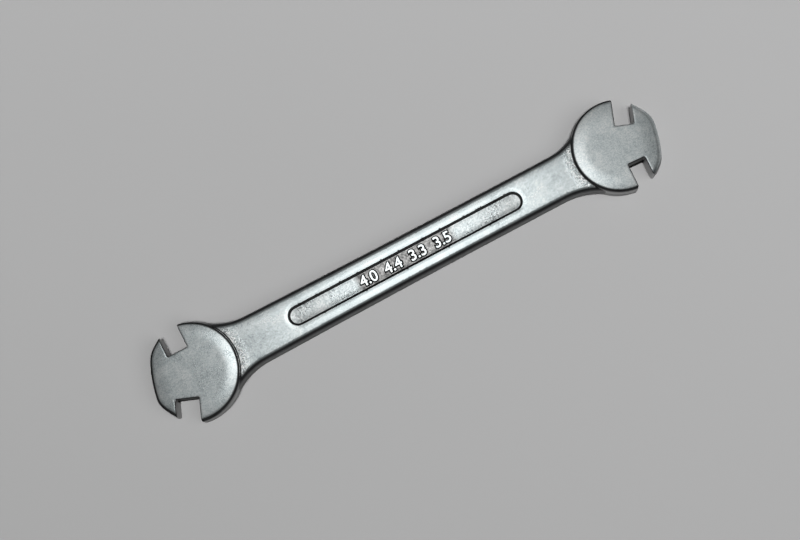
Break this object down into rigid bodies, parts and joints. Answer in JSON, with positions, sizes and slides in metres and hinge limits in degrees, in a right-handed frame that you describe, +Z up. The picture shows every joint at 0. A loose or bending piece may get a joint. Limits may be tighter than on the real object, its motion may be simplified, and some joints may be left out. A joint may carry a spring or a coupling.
{
  "type": "spoke wrench",
  "caption": "Flat double-ended spoke wrench: a satin bar handle with a long recess and a round head at each end, notched on both sides for the squares of spoke nipples.",
  "frame": {"origin": "under the middle of the wrench's length, on the surface that it lies on", "axes": "+X along the handle from the large head to the small head, +Z up, square to the flat faces of the heads"},
  "size_m": [0.1066, 0.0193, 0.005],
  "materials": {
    "satin_chrome": "satin chrome plate over forged steel"
  },
  "bodies": {
    "root": {"shank": "satin_chrome", "head_large": "satin_chrome", "head_small": "satin_chrome"}
  },
  "joints": []
}
